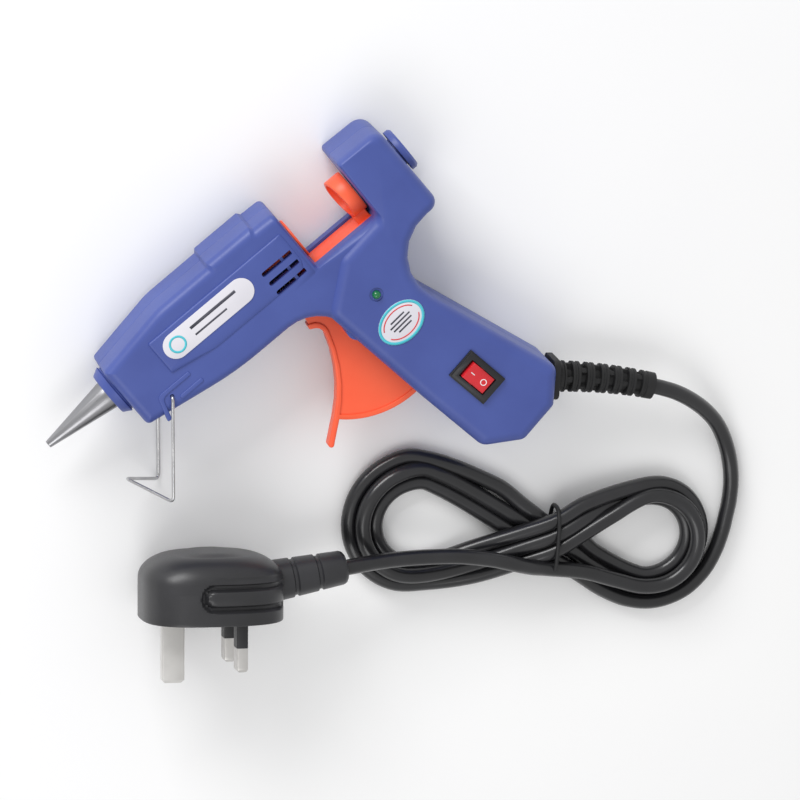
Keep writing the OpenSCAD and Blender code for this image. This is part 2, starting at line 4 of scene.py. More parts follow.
import bmesh
import bpy
from mathutils import Matrix, Vector
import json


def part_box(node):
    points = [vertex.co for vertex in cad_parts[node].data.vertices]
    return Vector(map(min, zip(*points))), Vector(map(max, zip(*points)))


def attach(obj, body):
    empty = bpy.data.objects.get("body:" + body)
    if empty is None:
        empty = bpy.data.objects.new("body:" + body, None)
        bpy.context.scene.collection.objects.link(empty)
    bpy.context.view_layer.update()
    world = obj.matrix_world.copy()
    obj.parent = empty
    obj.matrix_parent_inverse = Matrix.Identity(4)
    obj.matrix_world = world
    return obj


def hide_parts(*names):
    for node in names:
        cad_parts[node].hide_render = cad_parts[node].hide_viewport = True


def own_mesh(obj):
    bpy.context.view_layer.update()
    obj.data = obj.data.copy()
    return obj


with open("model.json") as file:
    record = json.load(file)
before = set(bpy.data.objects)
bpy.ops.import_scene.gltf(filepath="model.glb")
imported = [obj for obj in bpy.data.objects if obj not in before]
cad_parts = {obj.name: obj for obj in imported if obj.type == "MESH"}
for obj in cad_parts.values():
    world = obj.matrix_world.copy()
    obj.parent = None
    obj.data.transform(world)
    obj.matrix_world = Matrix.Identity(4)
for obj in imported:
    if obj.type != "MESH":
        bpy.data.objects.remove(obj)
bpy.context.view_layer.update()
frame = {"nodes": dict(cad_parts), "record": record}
MM = 0.001
nodes = frame["nodes"]
slot_of = {s["node"]: s["material_slot"] for s in frame["record"]["subparts"]}

# The gun's own frame: x back from the nozzle tip, y up from the stick axis, z out of the left side.
nozzle_low, nozzle_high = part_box("nozzle")
GUN = Vector((nozzle_low.x, (nozzle_low.y + nozzle_high.y) / 2, (nozzle_low.z + nozzle_high.z) / 2))


def gun(x, y, z=0.0):
    """A point of the gun's frame, given in millimetres, in the row frame."""
    return GUN + Vector((x, y, z)) * MM


# ---- camera ----

CAMERA_AIM = Vector((0.0230, -0.0259, 0.015))
CAMERA_DISTANCE = 1.65
right = Vector((0.766, -0.600, 0.2295))
back = right.cross(Vector((0.643, 0.7155, -0.2735))).normalized()
up = back.cross(right.normalized()).normalized()
camera_data = bpy.data.cameras.new("camera")
camera_data.sensor_width = 36
camera_data.lens = 210.9
camera = bpy.data.objects.new("camera", camera_data)
turn = Matrix((right.normalized(), up, back)).transposed().to_4x4()
camera.matrix_world = Matrix.Translation(CAMERA_AIM + back * CAMERA_DISTANCE) @ turn
bpy.context.scene.collection.objects.link(camera)
bpy.context.scene.camera = camera


# ---- materials ----

LINEAR_BELOW = 10


def srgb(r, g, b):
    """A colour given as 0-255 display values, in linear light."""
    return tuple(((c / 255 + 0.055) / 1.055) ** 2.4 if c > LINEAR_BELOW else c / 255 / 12.92
                 for c in (r, g, b)) + (1.0,)


def finish(name, dark, light, rough=(0.35, 0.5), grain=(1800, 0.1), patch=40, metal=0.0, coat=0.0,
           stretch=(1, 1, 1), clear=0.0):
    """A moulded, drawn or printed surface: two close colours in soft patches, and a fine grain.
    rough is the range of the roughness, grain the grain's scale and strength, patch the patches' scale."""
    material = bpy.data.materials.new(name)
    material.use_nodes = True
    tree = material.node_tree
    link = tree.links.new
    shader = tree.nodes["Principled BSDF"]
    where = tree.nodes.new("ShaderNodeTexCoord")
    stretched = tree.nodes.new("ShaderNodeMapping")
    stretched.inputs["Scale"].default_value = stretch
    link(where.outputs["Object"], stretched.inputs["Vector"])
    patches = tree.nodes.new("ShaderNodeTexNoise")
    patches.inputs["Scale"].default_value = patch
    patches.inputs["Detail"].default_value = 4
    link(stretched.outputs["Vector"], patches.inputs["Vector"])
    colours = tree.nodes.new("ShaderNodeValToRGB")
    colours.color_ramp.elements[0].position = 0.35
    colours.color_ramp.elements[1].position = 0.65
    colours.color_ramp.elements[0].color = dark
    colours.color_ramp.elements[1].color = light
    link(patches.outputs["Fac"], colours.inputs["Fac"])
    link(colours.outputs["Color"], shader.inputs["Base Color"])
    grains = tree.nodes.new("ShaderNodeTexNoise")
    grains.inputs["Scale"].default_value = grain[0]
    grains.inputs["Detail"].default_value = 3
    link(stretched.outputs["Vector"], grains.inputs["Vector"])
    gloss = tree.nodes.new("ShaderNodeMapRange")
    gloss.inputs["To Min"].default_value = rough[0]
    gloss.inputs["To Max"].default_value = rough[1]
    link(grains.outputs["Fac"], gloss.inputs["Value"])
    link(gloss.outputs["Result"], shader.inputs["Roughness"])
    bump = tree.nodes.new("ShaderNodeBump")
    bump.inputs["Strength"].default_value = grain[1]
    bump.inputs["Distance"].default_value = 0.0002
    link(grains.outputs["Fac"], bump.inputs["Height"])
    link(bump.outputs["Normal"], shader.inputs["Normal"])
    shader.inputs["Metallic"].default_value = metal
    shader.inputs["Coat Weight"].default_value = coat
    shader.inputs["Transmission Weight"].default_value = clear
    return material


LOOKS = {
    "blue_plastic": finish("blue_plastic", srgb(63, 79, 150), srgb(69, 86, 158), (0.36, 0.48)),
    "orange_plastic": finish("orange_plastic", srgb(252, 92, 54), srgb(255, 101, 62), (0.34, 0.46)),
    "nozzle_metal": finish("nozzle_metal", srgb(142, 142, 145), srgb(168, 168, 171), (0.22, 0.4),
                           (900, 0.12), 60, 1.0, stretch=(0.15, 1, 1)),
    "chamber_metal": finish("chamber_metal", srgb(150, 152, 156), srgb(172, 174, 178), (0.4, 0.6),
                            (1200, 0.3), 80, 1.0),
    "heater_element": finish("heater_element", srgb(184, 128, 52), srgb(201, 146, 66), (0.3, 0.4)),
    "spring_steel": finish("spring_steel", srgb(160, 163, 168), srgb(186, 188, 192), (0.22, 0.35),
                           (2500, 0.1), 90, 1.0),
    "steel_pins": finish("steel_pins", srgb(170, 173, 177), srgb(192, 195, 198), (0.22, 0.35),
                         (2000, 0.1), 90, 1.0),
    "stand_wire": finish("stand_wire", srgb(178, 178, 180), srgb(205, 205, 206), (0.14, 0.26),
                         (1500, 0.08), 70, 1.0),
    "red_silicone": finish("red_silicone", srgb(122, 26, 18), srgb(146, 36, 24), (0.45, 0.6),
                           (1200, 0.15)),
    "green_lens": finish("green_lens", srgb(10, 120, 66), srgb(24, 150, 84), (0.08, 0.14),
                         (900, 0.02), 60, coat=0.4, clear=0.25),
    "circuit_board": finish("circuit_board", srgb(32, 92, 50), srgb(44, 110, 62), (0.3, 0.45)),
    "black_plastic": finish("black_plastic", srgb(24, 24, 27), srgb(33, 33, 37), (0.38, 0.5)),
    "red_rocker": finish("red_rocker", srgb(206, 30, 40), srgb(222, 40, 50), (0.24, 0.34),
                         (1400, 0.06), coat=0.15),
    "brass_terminals": finish("brass_terminals", srgb(176, 142, 74), srgb(200, 164, 92),
                              (0.25, 0.4), (1500, 0.1), 60, 1.0),
    "label_print": finish("label_print", srgb(216, 214, 222), srgb(226, 224, 231), (0.3, 0.4),
                          (1600, 0.04)),
    "black_rubber": finish("black_rubber", srgb(12, 12, 13), srgb(19, 19, 21), (0.5, 0.64),
                           (1500, 0.14)),
    "core_insulation": finish("core_insulation", srgb(104, 60, 34), srgb(126, 76, 46)),
    "lead_sleeving": finish("lead_sleeving", srgb(206, 202, 192), srgb(222, 218, 208), (0.6, 0.8),
                            (1600, 0.4)),
    "cord_jacket": finish("cord_jacket", srgb(24, 24, 26), srgb(32, 32, 35), (0.26, 0.38),
                          (1300, 0.08), 60, coat=0.3),
    "tie_rubber": finish("tie_rubber", srgb(16, 16, 18), srgb(24, 24, 26), (0.5, 0.65)),
    "plug_plastic": finish("plug_plastic", srgb(38, 38, 40), srgb(46, 46, 49), (0.3, 0.42)),
    "fuse_carrier_plastic": finish("fuse_carrier_plastic", srgb(120, 32, 26), srgb(146, 44, 36)),
    "fuse_ceramic": finish("fuse_ceramic", srgb(196, 198, 202), srgb(214, 216, 219)),
    "plug_pin_metal": finish("plug_pin_metal", srgb(204, 202, 199), srgb(222, 220, 217),
                             (0.32, 0.46), (1600, 0.1), 60, 0.85),
}
PRINT = {
    "cyan": finish("print_cyan", srgb(70, 190, 205), srgb(84, 200, 214), (0.3, 0.4), (1600, 0.04)),
    "white": finish("print_white", srgb(238, 238, 240), srgb(246, 246, 248), (0.3, 0.4), (1600, 0.04)),
    "ink": finish("print_ink", srgb(62, 62, 74), srgb(74, 74, 86), (0.3, 0.4), (1600, 0.04)),
    "red": finish("print_red", srgb(214, 62, 70), srgb(224, 74, 82), (0.3, 0.4), (1600, 0.04)),
}


# ---- helpers ----

def add(name, mesh, slot, body, replaced=(), material=None, smooth=35):
    """A finished mesh as a piece: its material, its body and the CAD nodes that it stands for."""
    piece = bpy.data.objects.new(name, mesh)
    bpy.context.scene.collection.objects.link(piece)
    if not mesh.materials:
        mesh.materials.append(material or LOOKS[slot])
    mesh.shade_smooth()
    if smooth:
        mesh.set_sharp_from_angle(angle=math.radians(smooth))
    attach(piece, body)
    if replaced:
        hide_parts(*replaced)
    return piece


SHARP = 0.02
MERGED = 2e-6


def rounded(points, steps=6):
    """The points of an outline whose corners, x, y and radius, are rounded."""
    made = []
    for i, (x, y, r) in enumerate(points):
        p = Vector((x, y))
        a = Vector(points[i - 1][:2])
        b = Vector(points[(i + 1) % len(points)][:2])
        u = (a - p).normalized()
        v = (b - p).normalized()
        r = max(r, SHARP)
        half = math.acos(max(-1, min(1, u.dot(v)))) / 2
        centre = p + (u + v).normalized() * r / math.sin(half)
        start = p + u * r / math.tan(half) - centre
        end = p + v * r / math.tan(half) - centre
        first = math.atan2(start.y, start.x)
        angle = (math.atan2(end.y, end.x) - first + 3 * math.pi) % (2 * math.pi) - math.pi
        for k in range(steps + 1):
            t = first + angle * k / steps
            made.append(centre + Vector((math.cos(t), math.sin(t))) * r)
    return made


def inset(points, distance, shares=None):
    """The outline moved inwards by a distance. shares gives some edges, named by the corner they start
    at, their own share of it. The corners' radii shrink or grow with it."""
    shares = shares or {}
    area = sum(points[i - 1][0] * p[1] - p[0] * points[i - 1][1] for i, p in enumerate(points))
    side = 1 if area > 0 else -1
    made = []
    for i, (x, y, r) in enumerate(points):
        p = Vector((x, y))
        before = (p - Vector(points[i - 1][:2])).normalized()
        after = (Vector(points[(i + 1) % len(points)][:2]) - p).normalized()
        inner_a = Vector((-before.y, before.x)) * side
        inner_b = Vector((-after.y, after.x)) * side
        convex = before.cross(after) * side > 0
        da = distance * shares.get((i - 1) % len(points), 1)
        db = distance * shares.get(i, 1)
        turn = inner_a.cross(inner_b)
        if abs(turn) < 0.05 or da == db:
            q = p + (inner_a + inner_b) / (1 + inner_a.dot(inner_b)) * (da + db) / 2
        else:
            q = p + Vector((da * inner_b.y - db * inner_a.y, db * inner_a.x - da * inner_b.x)) / turn
        less = min(da, db)
        made.append((q.x, q.y, max(r - less, 0.05) if convex else r + less))
    return made


def loft(rings, place):
    """A closed solid through rings of equal point counts, each already in 3-D millimetres."""
    bm = bmesh.new()
    rows = [[bm.verts.new(place(*p)) for p in ring] for ring in rings]
    n = len(rows[0])
    for low, high in zip(rows, rows[1:]):
        for k in range(n):
            bm.faces.new((low[k], low[(k + 1) % n], high[(k + 1) % n], high[k]))
    bm.faces.new(rows[0][::-1])
    bm.faces.new(rows[-1])
    return closed(bm)


def closed(bm):
    """The bmesh as a mesh, its doubled points merged and its faces turned outwards."""
    bmesh.ops.remove_doubles(bm, verts=bm.verts, dist=1e-7)
    bmesh.ops.recalc_face_normals(bm, faces=bm.faces)
    mesh = bpy.data.meshes.new("piece")
    bm.to_mesh(mesh)
    bm.free()
    return mesh


def slab(points, z0, z1, edge=0.0, low_edge=0.0, place=gun, steps=5, corner=6, shares=None):
    """An outline extruded from z0 to z1, its upper and lower edges rounded. steps and corner are the
    numbers of facets round an edge and round a corner, and shares are those of the upper edge."""
    rings = []
    levels = []
    if low_edge > 0:
        for k in range(steps):
            t = math.pi / 2 * k / steps
            levels.append((low_edge * (1 - math.sin(t)), z0 + low_edge * (1 - math.cos(t))))
        levels.append((0, z0 + low_edge))
    else:
        levels.append((0, z0))
    if edge > 0:
        for k in range(steps + 1):
            t = math.pi / 2 * k / steps
            levels.append((edge * (1 - math.cos(t)), z1 - edge + edge * math.sin(t)))
    else:
        levels.append((0, z1))
    for inwards, z in levels:
        some = shares if z > (z0 + z1) / 2 else None
        rings.append([(p.x, p.y, z) for p in rounded(inset(points, inwards, some), corner)])
    return loft(rings, place)


def box(x0, x1, y0, y1, z0, z1, place=gun, edge=0.0, r=0.05):
    """A block with rounded edges and corners."""
    return slab([(x0, y0, r), (x1, y0, r), (x1, y1, r), (x0, y1, r)], z0, z1, edge, edge, place,
                3, 3)


def revolve(profile, place=gun, centre=(0, 0), sides=48):
    """A solid turned about the gun's x axis from a list of (x, radius)."""
    rings = []
    for x, r in profile:
        r = max(r, 0.001)
        rings.append([(x, centre[0] + r * math.cos(2 * math.pi * k / sides),
                       centre[1] + r * math.sin(2 * math.pi * k / sides)) for k in range(sides)])
    return loft(rings, place)


def upright(x, y, r, z0, z1, place=gun, sides=32):
    """A cylinder along the gun's z axis."""
    return loft([[(x + r * math.cos(2 * math.pi * k / sides),
                   y + r * math.sin(2 * math.pi * k / sides), z) for k in range(sides)]
                 for z in (z0, z1)], place)


def joined(meshes):
    """Several meshes as one."""
    bm = bmesh.new()
    for mesh in meshes:
        bm.from_mesh(mesh)
    made = bpy.data.meshes.new("piece")
    bm.to_mesh(made)
    bm.free()
    return made


def combine(mesh, others, operation="DIFFERENCE"):
    """The mesh with each of the others cut from it or added to it, one after another."""
    work = bpy.data.objects.new("work", mesh)
    bpy.context.scene.collection.objects.link(work)
    for other in others:
        tool = bpy.data.objects.new("tool", other)
        bpy.context.scene.collection.objects.link(tool)
        step = work.modifiers.new("step", "BOOLEAN")
        step.operation = operation
        step.solver = "MANIFOLD"
        step.object = tool
        graph = bpy.context.evaluated_depsgraph_get()
        result = bpy.data.meshes.new_from_object(work.evaluated_get(graph))
        work.modifiers.clear()
        work.data = result
        bpy.data.objects.remove(tool)
    result = work.data
    bpy.data.objects.remove(work)
    bm = bmesh.new()
    bm.from_mesh(result)
    bmesh.ops.remove_doubles(bm, verts=bm.verts, dist=MERGED)
    bmesh.ops.dissolve_degenerate(bm, dist=MERGED / 2, edges=bm.edges)
    bm.to_mesh(result)
    bm.free()
    result.materials.clear()
    return result


def smooth_line(points, steps=6):
    """A smooth line through points: each span a Bezier whose handles follow its neighbours."""
    points = [Vector(p) for p in points]
    last = len(points) - 1
    ways = [(points[min(i + 1, last)] - points[max(i - 1, 0)]).normalized()
            for i in range(last + 1)]
    made = []
    for i in range(last):
        a, b = points[i], points[i + 1]
        reach = (b - a).length / 3
        c, d = a + ways[i] * reach, b - ways[i + 1] * reach
        for k in range(steps):
            t = k / steps
            s = 1 - t
            made.append(a * s ** 3 + c * (3 * s * s * t) + d * (3 * s * t * t) + b * t ** 3)
    made.append(points[last])
    return made


def sweep(path, radius, sides=12, first_up=(0, 0, 1)):
    """A tube along a line; radius(i, angle) gives its half thickness."""
    ways = [(path[min(i + 1, len(path) - 1)] - path[max(i - 1, 0)]).normalized()
            for i in range(len(path))]
    bm = bmesh.new()
    rows = []
    side = ways[0].cross(Vector(first_up)).normalized()
    for i, p in enumerate(path):
        side = (side - ways[i] * side.dot(ways[i])).normalized()
        other = side.cross(ways[i])
        row = []
        for k in range(sides):
            t = 2 * math.pi * k / sides
            row.append(bm.verts.new(p + (side * math.cos(t) + other * math.sin(t)) * radius(i, t)))
        rows.append(row)
    for low, high in zip(rows, rows[1:]):
        for k in range(sides):
            bm.faces.new((low[k], low[(k + 1) % sides], high[(k + 1) % sides], high[k]))
    bm.faces.new(rows[0][::-1])
    bm.faces.new(rows[-1])
    return closed(bm)


# ---- the lead: one cord from its clamp, through the hank, to the plug ----

RELIEF = (148.7, -100)
RELIEF_TURN = math.radians(-42)


def relief(x, y, z=0.0):
    """A point of the strain relief's frame, x out of the butt, in the row frame."""
    c, s = math.cos(RELIEF_TURN), math.sin(RELIEF_TURN)
    return gun(RELIEF[0] + x * c - y * s, RELIEF[1] + x * s + y * c, z)


HANK = Vector((33, -108, 0))
HANK_TURN = math.radians(-42)


def hank(x, y, z):
    """A point of the hank's frame, x along its long way and z up from the floor, in the row frame."""
    c, s = math.cos(HANK_TURN), math.sin(HANK_TURN)
    return (HANK + Vector((x * c - y * s, x * s + y * c, z))) * MM


def lobe(x, y, r, z, first, last, count=7):
    """Points round one fold of the hank, between two angles in degrees, at height z or z(t)."""
    made = []
    for k in range(count):
        t = k / (count - 1)
        a = math.radians(first + (last - first) * t)
        made.append((x + r * math.cos(a), y + r * math.sin(a), z(t) if callable(z) else z))
    return made


# Inside the grip, through the strain relief, and down to the floor.
sleeve_line = [relief(-18, 0), relief(-9, 0)]
sleeve_line += [relief(3.2 + 36 * k / 9, -3.5 * (k / 9) ** 2) for k in range(10)]
lead_line = [Vector(p) * MM for p in (
    (97.2, -86.4, 14.9), (100.3, -91.8, 13.8), (102.9, -98.6, 11.7), (104.7, -106.5, 9),
    (105.1, -114.6, 6.3), (103.6, -122.6, 4.2), (100.6, -130.2, 3.1), (96.4, -136.9, 3),
    (91.2, -142.6, 3), (87, -146.2, 3))]
# Three loops in each lobe, one layer on the floor and one on top, crossing at the tie.
wound = [(64.6, 1, 3), (62.2, -7, 3), (58.4, -14.2, 2.95), (51.5, -21, 2.95), (41.5, -24.8, 2.95),
         (31, -24.2, 2.95), (21, -20.2, 2.95), (11, -13.9, 3.4), (0, -7.5, 4.4), (-11, -0.5, 3.1)]
wound += lobe(-50, 5, 15.4, 2.95, 78, 285)
wound += [(-28, -2.8, 5.8), (-12, 3.4, 8.8), (0, 8.2, 10.15), (11, 14.2, 8.8)]
wound += lobe(36.5, 0.5, 20, lambda t: 2.95 + 3.3 * max(0, 1 - 3.5 * t), 104, -104, 8)
wound += [(16, -10.8, 2.95), (8, -5.2, 3.5), (0, -1.8, 4.4), (-10, 5, 3.2)]
wound += lobe(-51, 6, 19.7, lambda t: 6.75 - 2.4 * max(0, 1 - 4 * t), 78, 285)
wound += [(-28, -8.5, 7.2), (-12, -2.4, 8.8), (0, 2.4, 10.15), (11, 8.6, 8.8), (20, 12.4, 5.6)]
wound += lobe(37, 0, 14.6, 2.95, 95, -100)
wound += [(18, -6.5, 2.95), (9, 0.6, 3.4), (0, 4, 4.4), (-10, 10.8, 3.1), (-22, 19.5, 2.95)]
wound += lobe(-51, 6, 24, 2.95, 92, 285)
wound += [(-28, -14, 5.4), (-12, -8.2, 7.7), (0, -3.4, 10.1), (10, 2.6, 9.5), (20, 9, 9.2)]
wound += lobe(37, -0.5, 17.3, 8, 100, -95)
wound += [(24, -15, 8.6), (12, -11.6, 9.4)]
# The way over the top of the hank to the plug.
tail = [(-3, -9.8, 10.4), (-9, -8.8, 12.2), (-15.5, -7, 14.2), (-24, -5, 15), (-36, -3.7, 15),
        (-48, -3.8, 15), (-58, -4.2, 15.8), (-66.3, -4.6, 17.5), (-72.4, -4.9, 19.4),
        (-78.4, -5.6, 20.5), (-83.4, -6.5, 20.7), (-88.2, -7.4, 20.8)]
cord_points = smooth_line(sleeve_line + lead_line + [hank(*p) for p in wound + tail], 6)

CORD_D = 0.0057
cord_curve = bpy.data.curves.new("mains_lead", "CURVE")
cord_curve.dimensions = "3D"
cord_curve.bevel_depth = CORD_D / 2
cord_curve.bevel_resolution = 5
cord_curve.use_fill_caps = True
spline = cord_curve.splines.new("POLY")
spline.points.add(len(cord_points) - 1)
for point, place in zip(spline.points, cord_points):
    point.co = (*place, 1)
spline.use_smooth = True
cord_curve.materials.append(LOOKS["cord_jacket"])
mains_lead = bpy.data.objects.new("mains_lead", cord_curve)
bpy.context.scene.collection.objects.link(mains_lead)
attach(mains_lead, "gun")
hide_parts("cord_lead", "cord_hank", "cord_tail")


# ---- housing halves ----

# Outlines are corners of the gun's frame with a radius each: the whole side, the barrel with its
# notch, the grip with the rear tower, and the raised panel of the barrel.
OUTLINE = [
    (31.1, 10.7, 1.5), (59, 15.8, 30), (81.4, 15.9, 0), (82.4, 17.3, 0), (101.4, 17.3, 0),
    (102.4, 15.9, 0), (111, 15.6, 2), (111, -9.2, 0.8), (138.3, -9.2, 0.8), (138.5, 15.4, 1.6),
    (157.2, 15, 4.5), (157.8, -20.4, 4), (126.4, -20.3, 18), (153.2, -95, 4), (143.8, -105.4, 3),
    (128, -108.2, 4), (115.2, -99.8, 5), (110, -70.1, 90), (102.4, -20.2, 16), (66.2, -20.2, 120),
    (31.1, -14.3, 2)]
BARREL = [
    (31.1, 10.7, 1.5), (59, 15.8, 30), (81.4, 15.9, 0), (82.4, 17.3, 0), (101.4, 17.3, 0),
    (102.4, 15.9, 0), (111, 15.6, 2), (111, -9.2, 0.8), (138.3, -9.2, 0.8), (142, -9.4, 3),
    (142, -19, 3), (128, -20.25, 10), (121, -34, 8), (106, -34, 8), (102.4, -20.2, 16),
    (66.2, -20.2, 120), (31.1, -14.3, 2)]
GRIP = [
    (138.5, 15.4, 1.6), (157.2, 15, 4.5), (157.8, -20.4, 4), (126.4, -20.3, 18), (153.2, -95, 4),
    (143.8, -105.4, 3), (128, -108.2, 4), (115.2, -99.8, 5), (110, -70.1, 90), (103.1, -25, 6),
    (118.6, -11.8, 7), (138.3, -9.2, 3)]
PANEL = [(49.2, 9.2, 0.8), (108.5, 9.2, 0.8), (108.5, -8, 6), (68, -8, 8), (49.2, -4.5, 0.8)]
SCREWS = [(58, -15.2), (96, 11), (148, -13.2), (148, 10), (133, -52), (124, -97)]
BARREL_HALF = 13.2
PANEL_HALF = 14
GRIP_HALF = 15
WALL = 2.2
SWITCH = (129.2, -77.3)
SWITCH_TURN = math.radians(-80.5)
LED = (120.6, -30)
PIVOT = (108, -36.5)
STAND_PIVOT = (44, -11.1)
MEETING_EDGE = 0.25
VENTS = (1.6, -2.6, -6.9)
BOSS_TOP = 11.5
HEAD_R = 2.9


def half_housing(side):
    """One half of the housing; side is 1 for the left half and -1 for the right one."""
    def place(x, y, z):
        return gun(x, y, side * z)

    def switch_place(x, y, z):
        c, s = math.cos(SWITCH_TURN), math.sin(SWITCH_TURN)
        return gun(SWITCH[0] + x * c - y * s, SWITCH[1] + x * s + y * c, side * (GRIP_HALF + z))

    def across(x0, x1, r):
        return revolve([(x0, r), (x1, r)], place)

    shell = slab(BARREL, 0, BARREL_HALF, 3.4, MEETING_EDGE, place, 8, 6, {6: 0.35, 7: 0.35, 20: 0.6})
    grip = slab(inset(GRIP, 0.01), 0, GRIP_HALF, 4.3, MEETING_EDGE, place, 9, 6,
                {0: 0.35, 11: 0.25})
    panel = slab(PANEL, BARREL_HALF - 1.2, PANEL_HALF, 0.8, 0, place, 5, 6, {1: 4, 2: 6, 3: 2})
    rib_z = BARREL_HALF + 0.4
    rib = slab([(38.9, -17.5, 0.4), (41.2, -9.4, 2.6), (54, -9.4, 0.7), (54, -7.8, 0.7),
                (40, -7.8, 2), (37.2, -17.2, 0.4)], BARREL_HALF - 2.5, rib_z, 0.35, 0, place)
    rib_b = slab([(46, -14.2, 0.7), (56, -14.2, 0.7), (56, -12.6, 0.7), (46, -12.6, 0.7)],
                 BARREL_HALF - 1, rib_z, 0.35, 0, place)
    shell = combine(shell, [grip, panel, rib, rib_b], "UNION")
    cavity = slab(inset(OUTLINE, WALL), -1, BARREL_HALF - WALL, 0, 0, place)
    cuts = [cavity,
            box(105, 138.2, -12.3, -9.1, -1, 7.5, place),
            across(29, 35, 7), across(107, 112, 6.1), across(137, 159, 5.6),
            slab([(92, -17, 0), (103, -17, 0), (112, -34, 0), (114, -70, 0), (114, -79, 0),
                  (106, -79, 0), (92, -31, 0)], -1, 3.5, 0, 0, place),
            upright(*STAND_PIVOT, 0.75, 9, 15, place)]
    for y in VENTS:
        cuts.append(slab([(94.5, y - 0.9, 0.85), (107.4, y - 0.9, 0.3), (107.4, y + 0.9, 0.3),
                          (94.5, y + 0.9, 0.85)], 10, 16, 0, 0, place))
    c, s = math.cos(RELIEF_TURN), math.sin(RELIEF_TURN)
    hole = revolve([(-6, 4.1), (6, 4.1)],
                   lambda x, y, z: place(RELIEF[0] + x * c - y * s, RELIEF[1] + x * s + y * c, z))
    cuts.append(hole)
    wells = [upright(x, y, HEAD_R, 5, 19, place) for x, y in SCREWS] if side < 0 else []
    if side > 0:
        cuts.append(box(-6.7, 6.7, -4.3, 4.3, -10, 3, switch_place))
        cuts.append(upright(*LED, 1.55, 5, 17, place))
        cuts.append(upright(*LED, 2.5, GRIP_HALF - 0.35, 17, place))
    shell = combine(shell, cuts + wells)
    rib_c = box(102.7, 103.9, -8.4, 3.1, BARREL_HALF - WALL - 0.2, BARREL_HALF - 0.4, place)
    shell = combine(shell, [rib_c], "UNION")
    bosses = [upright(x, y, 3, 0.1, BOSS_TOP, place) for x, y in SCREWS]
    bosses.append(upright(*PIVOT, 4, 3.5, BOSS_TOP, place))
    bore_r, bore_end = (1.3, 8) if side > 0 else (1.6, 13)
    bores = [upright(x, y, bore_r, -1, bore_end, place) for x, y in SCREWS]
    bores.append(upright(*PIVOT, 2, -1, BOSS_TOP - 0.3, place))
    if side < 0:
        bores += [upright(x, y, HEAD_R, 5, 19, place) for x, y in SCREWS]
        bosses += [upright(RELIEF[0] - 14 * c - q * s, RELIEF[1] - 14 * s + q * c, 2.4, 1.5,
                           BOSS_TOP, place) for q in (-6, 6)]
    shell = combine(shell, bosses, "UNION")
    return combine(shell, bores)


add("housing_left_shell", half_housing(1), "blue_plastic", "gun", ["left_housing"])
add("housing_right_shell", half_housing(-1), "blue_plastic", "gun", ["right_housing"])


# ---- plug ----

PLUG_TILT = math.radians(9.4)
PLUG_LEAN = math.tan(PLUG_TILT)
PLUG = Matrix.Translation(Vector((-77.2, -39.6, 23.2)) * MM) @ Matrix.Rotation(
    math.radians(-40.8), 4, "Z") @ Matrix.Rotation(-PLUG_TILT, 4, "X")
PLUG_LENGTH_HALF = 25
PLUG_BASE_HALF = 21.6
PLUG_FLANK_HALF = 23.5
EARTH_X = -13.5
LINE_X = 8.73
LINE_Z = 11.11
SLEEVED = -9
PIN_ROOT = 2


def plug(x, y, z):
    """A point of the plug's frame, y up from its base and x towards its neck, in the row frame."""
    return PLUG @ (Vector((x, y, z)) * MM)


def neck(x, y, z):
    """A point of the frame of the plug's neck, x along it."""
    c, s = math.cos(PLUG_TILT), math.sin(PLUG_TILT)
    return plug(22 + x * c - y * s, 12.3 + x * s + y * c, z)


def full(v):
    """A cosine or sine raised so that an ellipse drawn with it has fuller corners."""
    return math.copysign(abs(v) ** 0.68, v)


def ramp(v, low, high):
    """0 below low, 1 above high, and smooth between them."""
    t = max(0, min(1, (v - low) / (high - low)))
    return t * t * (3 - 2 * t)


def flank_recess(x, y):
    """How deep the finger grip in the plug's flanks is: two grooves round a bar, and a ledge."""
    r = math.hypot(min(x + 2.3, 0), y - 9.7)
    groove = ramp(r, 2.4, 3.3) * (1 - ramp(r, 4.3, 5.2))
    crown = 0.25 * min(r / 2.7, 1) ** 2 * (1 - ramp(r, 3, 5))
    ledge = ramp(x, -4, 6) * ramp(y, 14.6, 15.4) * (1 - ramp(y, 16.2, 17)) * 0.35
    return 1.8 * (groove + crown + ledge) * (1 - ramp(x, 23.2, 24.8))


def plug_ring(y, inwards, count=256):
    """The plug's outline at a height, drawn in by a distance at its ends and by less on its flanks."""
    a = PLUG_LENGTH_HALF - inwards
    b = min(PLUG_FLANK_HALF - y * PLUG_LEAN, PLUG_BASE_HALF) - 0.55 * inwards
    ring = []
    for k in range(count):
        t = 2 * math.pi * (k + 0.5) / count
        x, z = a * full(math.cos(t)), b * full(math.sin(t))
        ring.append((x, y, z - math.copysign(flank_recess(x, y), z)))
    return ring


plug_rings = [plug_ring(0, 0.5), plug_ring(0.15, 0.15), plug_ring(0.5, 0)]
plug_rings += [plug_ring(1.2 + 0.4 * step, 0) for step in range(33)]
for step in range(1, 30):
    turned = math.pi / 2 * step / 30
    plug_rings.append(plug_ring(14.2 + 8.8 * math.sin(turned), 13.5 * (1 - math.cos(turned))))
for inwards, y in ((14.5, 23.2), (16.5, 23.55), (18.5, 23.8), (20.5, 23.94), (22.5, 24)):
    plug_rings.append(plug_ring(y, inwards))
plug_mesh = loft(plug_rings, plug)
neck_profile = [(-4, 7.6), (0, 7.5), (6.8, 7.15), (7.3, 6.5), (8.3, 6.4), (8.8, 7), (15.8, 6.65),
                (16.3, 6), (17.3, 5.9), (17.8, 6.5), (25.2, 6.1), (26.3, 5.6), (27, 4.6)]
plug_mesh = combine(plug_mesh, [revolve(neck_profile, neck)], "UNION")
hollow = [(22.5 * full(math.cos(2 * math.pi * k / 48)), 20.7 * full(math.sin(2 * math.pi * k / 48)))
          for k in range(48)]
seat = loft([[(x, y, z) for x, z in hollow] for y in (-1, 2)], plug)
